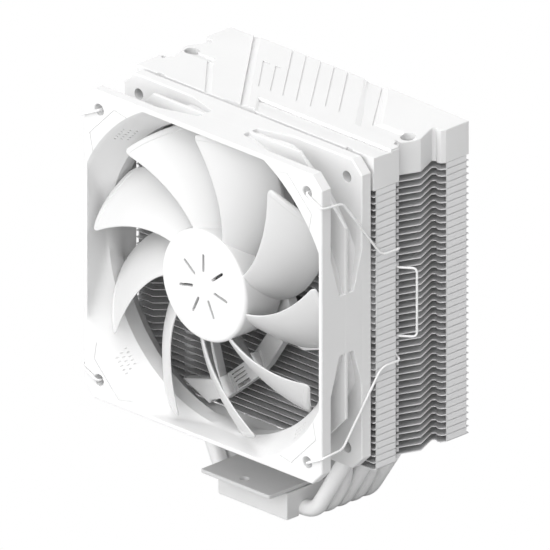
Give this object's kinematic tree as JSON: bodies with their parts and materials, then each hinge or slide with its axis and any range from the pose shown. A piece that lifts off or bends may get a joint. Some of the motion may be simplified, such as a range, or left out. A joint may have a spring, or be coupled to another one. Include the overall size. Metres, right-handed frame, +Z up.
{
  "type": "cpu tower cooler",
  "caption": "White tower cooler for a CPU: square axial fan clipped to a stack of thin fins, bent heat pipes, contact block with mounting bar, moulded top cover.",
  "frame": {"origin": "middle of the contact face that rests on the CPU", "axes": "+Z up along the heat pipes, +Y from the fan to the back of the fins, +X to the right of the fan seen from its front"},
  "size_m": [0.1294, 0.079, 0.1539],
  "materials": {
    "fan_plastic": "satin white moulded plastic",
    "cover_plastic": "fine matt white moulded plastic",
    "fin_coating": "thin white coating on aluminium sheet",
    "pipe_coating": "white coating",
    "block_coating": "white coating",
    "clip_wire": "white coated spring wire",
    "pad_rubber": "soft pale rubber",
    "screw_steel": "plated steel",
    "motor_steel": "plain steel",
    "magnet": "bonded ferrite",
    "bearing_brass": "sintered bronze",
    "winding": "enamelled copper wire",
    "circuit_board": "green laminate"
  },
  "bodies": {
    "tower": {"fan_frame": "fan_plastic", "top_cover": "cover_plastic", "fin_01": "fin_coating", "fin_02": "fin_coating", "fin_03": "fin_coating", "fin_04": "fin_coating", "fin_05": "fin_coating", "fin_06": "fin_coating", "fin_07": "fin_coating", "fin_08": "fin_coating", "fin_09": "fin_coating", "fin_10": "fin_coating", "fin_11": "fin_coating", "fin_12": "fin_coating", "fin_13": "fin_coating", "fin_14": "fin_coating", "fin_15": "fin_coating", "fin_16": "fin_coating", "fin_17": "fin_coating", "fin_18": "fin_coating", "fin_19": "fin_coating", "fin_20": "fin_coating", "fin_21": "fin_coating", "heat_pipe_1": "pipe_coating", "heat_pipe_2": "pipe_coating", "heat_pipe_3": "pipe_coating", "heat_pipe_4": "pipe_coating", "heat_pipe_5": "pipe_coating", "base_block": "block_coating", "mounting_bar": "block_coating", "corner_pad_lower_left": "pad_rubber", "corner_pad_lower_right": "pad_rubber", "corner_pad_upper_left": "pad_rubber", "corner_pad_upper_right": "pad_rubber", "bar_screw_1": "screw_steel", "bar_screw_2": "screw_steel", "stator_core": "motor_steel", "bearing_sleeve": "bearing_brass", "stator_coil_1": "winding", "stator_coil_2": "winding", "stator_coil_3": "winding", "stator_coil_4": "winding", "motor_board": "circuit_board"},
    "rotor": {"impeller": "fan_plastic", "rotor_yoke": "motor_steel", "magnet_ring": "magnet", "rotor_shaft": "motor_steel", "shaft_retainer": "motor_steel"},
    "clip_left": {"wire_clip_left": "clip_wire"},
    "clip_right": {"wire_clip_right": "clip_wire"}
  },
  "joints": [
    {"name": "fan_spin", "type": "hinge", "parent": "tower", "child": "rotor", "pos_m": [0, -0.047, 0.0933], "axis": [0, -1, 0], "continuous": true},
    {"name": "clip_left_swing", "type": "hinge", "parent": "tower", "child": "clip_left", "pos_m": [-0.0525, -0.04795, 0.0933], "axis": [0, 0, 1], "range_deg": [0, 20], "stiffness_Nm_per_rad": 0.02},
    {"name": "clip_right_swing", "type": "hinge", "parent": "tower", "child": "clip_right", "pos_m": [0.0525, -0.04795, 0.0933], "axis": [0, 0, -1], "range_deg": [0, 20], "stiffness_Nm_per_rad": 0.02}
  ]
}
